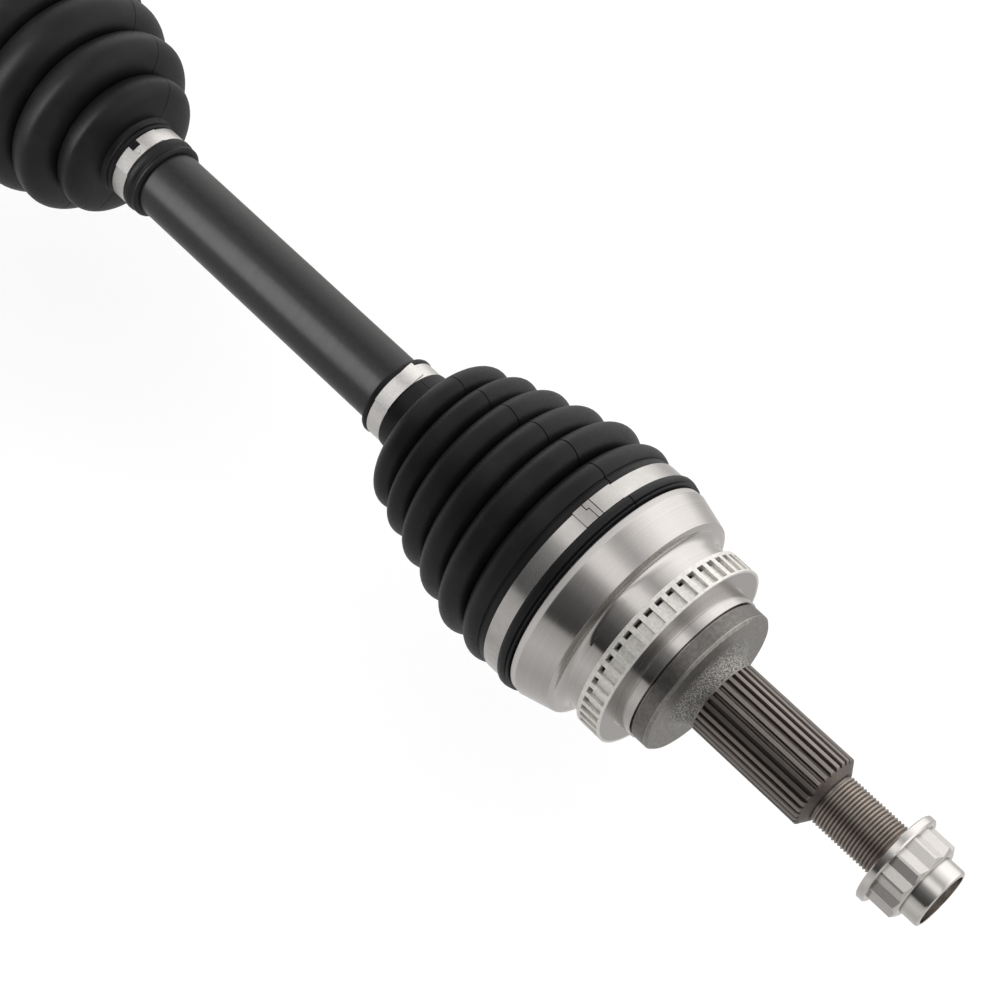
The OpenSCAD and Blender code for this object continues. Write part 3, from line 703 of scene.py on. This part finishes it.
def outer_small_clamp(material):
    def skewed(x, angle):
        """The free end of the top layer runs off to one side."""
        start, length, most = -4, 23, 1.3
        return x - most * min(max((start - angle) / length, 0), 1)

    clamp("outer_small_band", "outer_boot_small_clamp", "shaft", BAR_SEAT, material, [-27, 43],
          [0, 1], skew=skewed)


def inner_small_clamp(material, notch_shade_material):
    """The top layer has a gap cut in it, with a sheet of black rubber laid on the band inside as
    painted shade, and a dimple beside it.
    """
    name, node = "inner_small_band", "inner_boot_small_clamp"
    notch_share, dimple_share, dimple_angle = 0.43, 0.70, 15.5
    clamp(name, node, "shaft", BAR_SEAT, material, [-23, 7.3, 20.2, 50.8], [0, notch_share, 1],
          {(1, 0)})
    x0, x1, _ = span(node)
    top = BAR_SEAT + BAND_TOP
    # painted shade: a thin sheet of black rubber on the band, in the gap of the lock plate
    notch_shade = plate(name + "_notch", [7.5, 20.0], [x0 + 0.15, x0 + (notch_share - 0.01) * (x1 - x0)],
                  set(), top - 0.05, top + 0.05, notch_shade_material)
    dimple = pressed_ring(name + "_dimple", x0 + dimple_share * (x1 - x0), dimple_angle,
                          top + LOCK_TOP, material)
    attach(notch_shade, "shaft")
    attach(dimple, "shaft")


def pressed_ring(name, x, angle, radius, material):
    """Low round collar with a hollow middle, pressed up out of a band at a radius."""
    rings = [(1.45, -0.06), (1.33, 0.16), (1.07, 0.20), (0.83, 0.0)]  # reach and height of each
    count = 28
    verts = [place(x, radius - 0.05, angle)]
    for reach, rise in rings:
        for i in range(count):
            a = math.tau * i / count
            turn = math.degrees(reach * math.sin(a) / radius)
            verts.append(place(x + reach * math.cos(a), radius + rise, angle + turn))
    verts.append(place(x, radius - 0.3, angle))
    top_centre, bottom_centre = 0, len(verts) - 1
    outermost, innermost = 1, 1 + (len(rings) - 1) * count
    faces = []
    for k in range(outermost, innermost, count):
        for i in range(count):
            j = (i + 1) % count
            faces.append((k + i, k + j, k + count + j, k + count + i))
    for i in range(count):
        j = (i + 1) % count
        faces.append((innermost + i, innermost + j, top_centre))
        faces.append((outermost + j, outermost + i, bottom_centre))
    return new_object(name, verts, faces, material, 60)


# ---------------------------------------------------------------- the rest of the frame


def dress_frame():
    """Procedural materials on the CAD parts that keep their own mesh."""
    by_node = {
        "outer_race_stub": bell_steel(),
        "abs_tone_ring": ring_metal(),
        "axle_nut": nut_plating(),
        "bar_shaft": bar_paint(),
        "tripod_housing": housing_steel(),
    }
    by_slot = {
        "hardened_steel": joint_metal("hardened_steel_ground", (0.26, 0.25, 0.24),
                                      (0.40, 0.385, 0.37), 0.22),
        "bearing_steel": joint_metal("bearing_steel_polished", (0.62, 0.62, 0.63),
                                     (0.74, 0.74, 0.75), 0.08, 0.003),
        "spring_steel": joint_metal("spring_steel_phosphated", (0.07, 0.066, 0.064),
                                    (0.13, 0.12, 0.115), 0.38),
    }
    slots = {s["node"]: s["material_slot"] for s in frame["record"]["subparts"]}
    for node, obj in frame["nodes"].items():
        material = by_node.get(node) or by_slot.get(slots[node])
        if material:
            obj.data.materials.clear()
            obj.data.materials.append(material)


# ---------------------------------------------------------------- stage

PLAIN_LIGHT = 1.12
WARM = (1, 0.985, 0.97)

# brightness of what polished metal sees, by angle round the axle from straight up
SURROUNDINGS = [
    (-180, 0.66), (-150, 0.70), (-128, 0.62), (-115, 0.74), (-98, 1.38), (-68, 1.54), (-54, 1.48),
    (-38, 1.08), (-19, 0.52), (-9, 0.72), (-2, 1.10), (7, 1.12), (13, 1.00), (21, 0.46),
    (28, 0.25), (45, 0.09), (72, 0.02), (76, 0.46), (100, 0.70), (131, 0.54), (180, 0.66),
]


def studio():
    """White surroundings that show as soft light and dark fields in polished metal."""
    scene = bpy.context.scene
    scene.view_settings.view_transform = "Standard"
    scene.world = bpy.data.worlds.new("studio")
    scene.world.use_nodes = True
    n = Nodes(scene.world.node_tree)

    ray = n.add("ShaderNodeTexCoord").outputs["Generated"]
    _, y, z = n.add("ShaderNodeSeparateXYZ", Vector=ray).outputs
    around = n.math("ARCTAN2", n.math("MULTIPLY", y, -1.0), z)
    turn = n.add("ShaderNodeMapRange", Value=around, From_Min=-math.pi, From_Max=math.pi)
    fields = n.add("ShaderNodeValToRGB", Fac=turn.outputs[0])
    brightest = max(value for _, value in SURROUNDINGS)
    elements = fields.color_ramp.elements
    elements.remove(elements[-1])
    for i, (angle, value) in enumerate(SURROUNDINGS):
        position = (angle + 180) / 360
        element = elements.new(position) if i else elements[0]
        element.position = position
        element.color = (*(value / brightest * tint for tint in WARM), 1)

    plain = n.add("ShaderNodeBackground", Color=(1, 1, 1, 1), Strength=PLAIN_LIGHT)
    mirrored = n.add("ShaderNodeBackground", Color=fields.outputs[0], Strength=brightest)
    pick = n.add("ShaderNodeMixShader", Fac=n.add("ShaderNodeLightPath").outputs["Is Glossy Ray"])
    n.feed(pick.inputs[1], plain.outputs[0])
    n.feed(pick.inputs[2], mirrored.outputs[0])
    n.add("ShaderNodeOutputWorld", Surface=pick.outputs[0])


def pale_floor():
    z, half = -0.17, 6
    corners = [(-half, -half, z), (half, -half, z), (half, half, z), (-half, half, z)]
    floor = new_object("studio_floor", corners, [(0, 1, 2, 3)], floor_paint())
    floor.visible_glossy = False


def softbox(name, target_x, angle, distance, shift, size, power):
    """Area light that looks at a point of the axle, placed by its angle round the axle."""
    a = math.radians(angle)
    data = bpy.data.lights.new(name, "AREA")
    data.shape = "RECTANGLE"
    data.size, data.size_y = size
    data.energy = power
    light = bpy.data.objects.new(name, data)
    aim = Vector((target_x, 0, 0))
    light.location = aim + Vector((shift, -distance * math.sin(a), distance * math.cos(a)))
    light.rotation_euler = (aim - light.location).to_track_quat("-Z", "X").to_euler()
    bpy.context.scene.collection.objects.link(light)
    return light


def light_only(light, names):
    """Lets a light reach only the named pieces."""
    group = bpy.data.collections.new(light.name + "_parts")
    for name in names:
        group.objects.link(frame["nodes"].get(name) or bpy.data.objects[name])
    light.light_linking.receiver_collection = group


def lights():
    """A broad soft key, a strip for the painted bar and inner boot, a card for the small clamps."""
    key = softbox("key", target_x=-0.15, angle=-62, distance=1.3, shift=0.1, size=(1.2, 0.9),
                  power=3.5)
    key.visible_glossy = False
    strip = softbox("bar_strip", target_x=-0.24, angle=47, distance=0.6, shift=-0.30,
                    size=(0.64, 0.36), power=3.8)
    light_only(strip, ("bar_shaft", "inner_boot_skin_bar", "inner_boot_skin_housing"))
    card = softbox("clamp_card", target_x=-0.24, angle=47, distance=0.6, shift=-0.30,
                   size=(0.7, 0.36), power=0.85)
    light_only(card, ("outer_small_band", "outer_small_band_lock_1", "inner_small_band",
                      "inner_small_band_lock_1", "inner_small_band_dimple"))


def camera():
    """Long lens looking down on the axle, level with the horizon."""
    azimuth, elevation, distance = math.radians(46.65), math.radians(61.2), 0.9356
    aim = Vector((-0.1091, -0.00234, -0.00057))
    data = bpy.data.cameras.new("camera")
    data.lens = 88
    data.sensor_width = 36
    data.clip_start, data.clip_end = 0.05, 20
    cam = bpy.data.objects.new("camera", data)
    back = Vector((math.sin(azimuth) * math.cos(elevation),
                   -math.cos(azimuth) * math.cos(elevation), math.sin(elevation)))
    cam.location = aim + back * distance
    cam.rotation_euler = (-back).to_track_quat("-Z", "Y").to_euler()
    bpy.context.scene.collection.objects.link(cam)
    bpy.context.scene.camera = cam


black = rubber()
stainless = band_metal()
satin = small_band_metal()
outer_boot(black)
inner_boot(black)
large_clamp("outer_large_band", "outer_boot_large_clamp", "wheel_bell", BELL_SEAT, stainless)
outer_small_clamp(satin)
inner_small_clamp(satin, black)
large_clamp("inner_large_band", "inner_boot_large_clamp", "housing", HOUSING_SEAT, stainless)
dress_frame()
studio()
pale_floor()
lights()
camera()
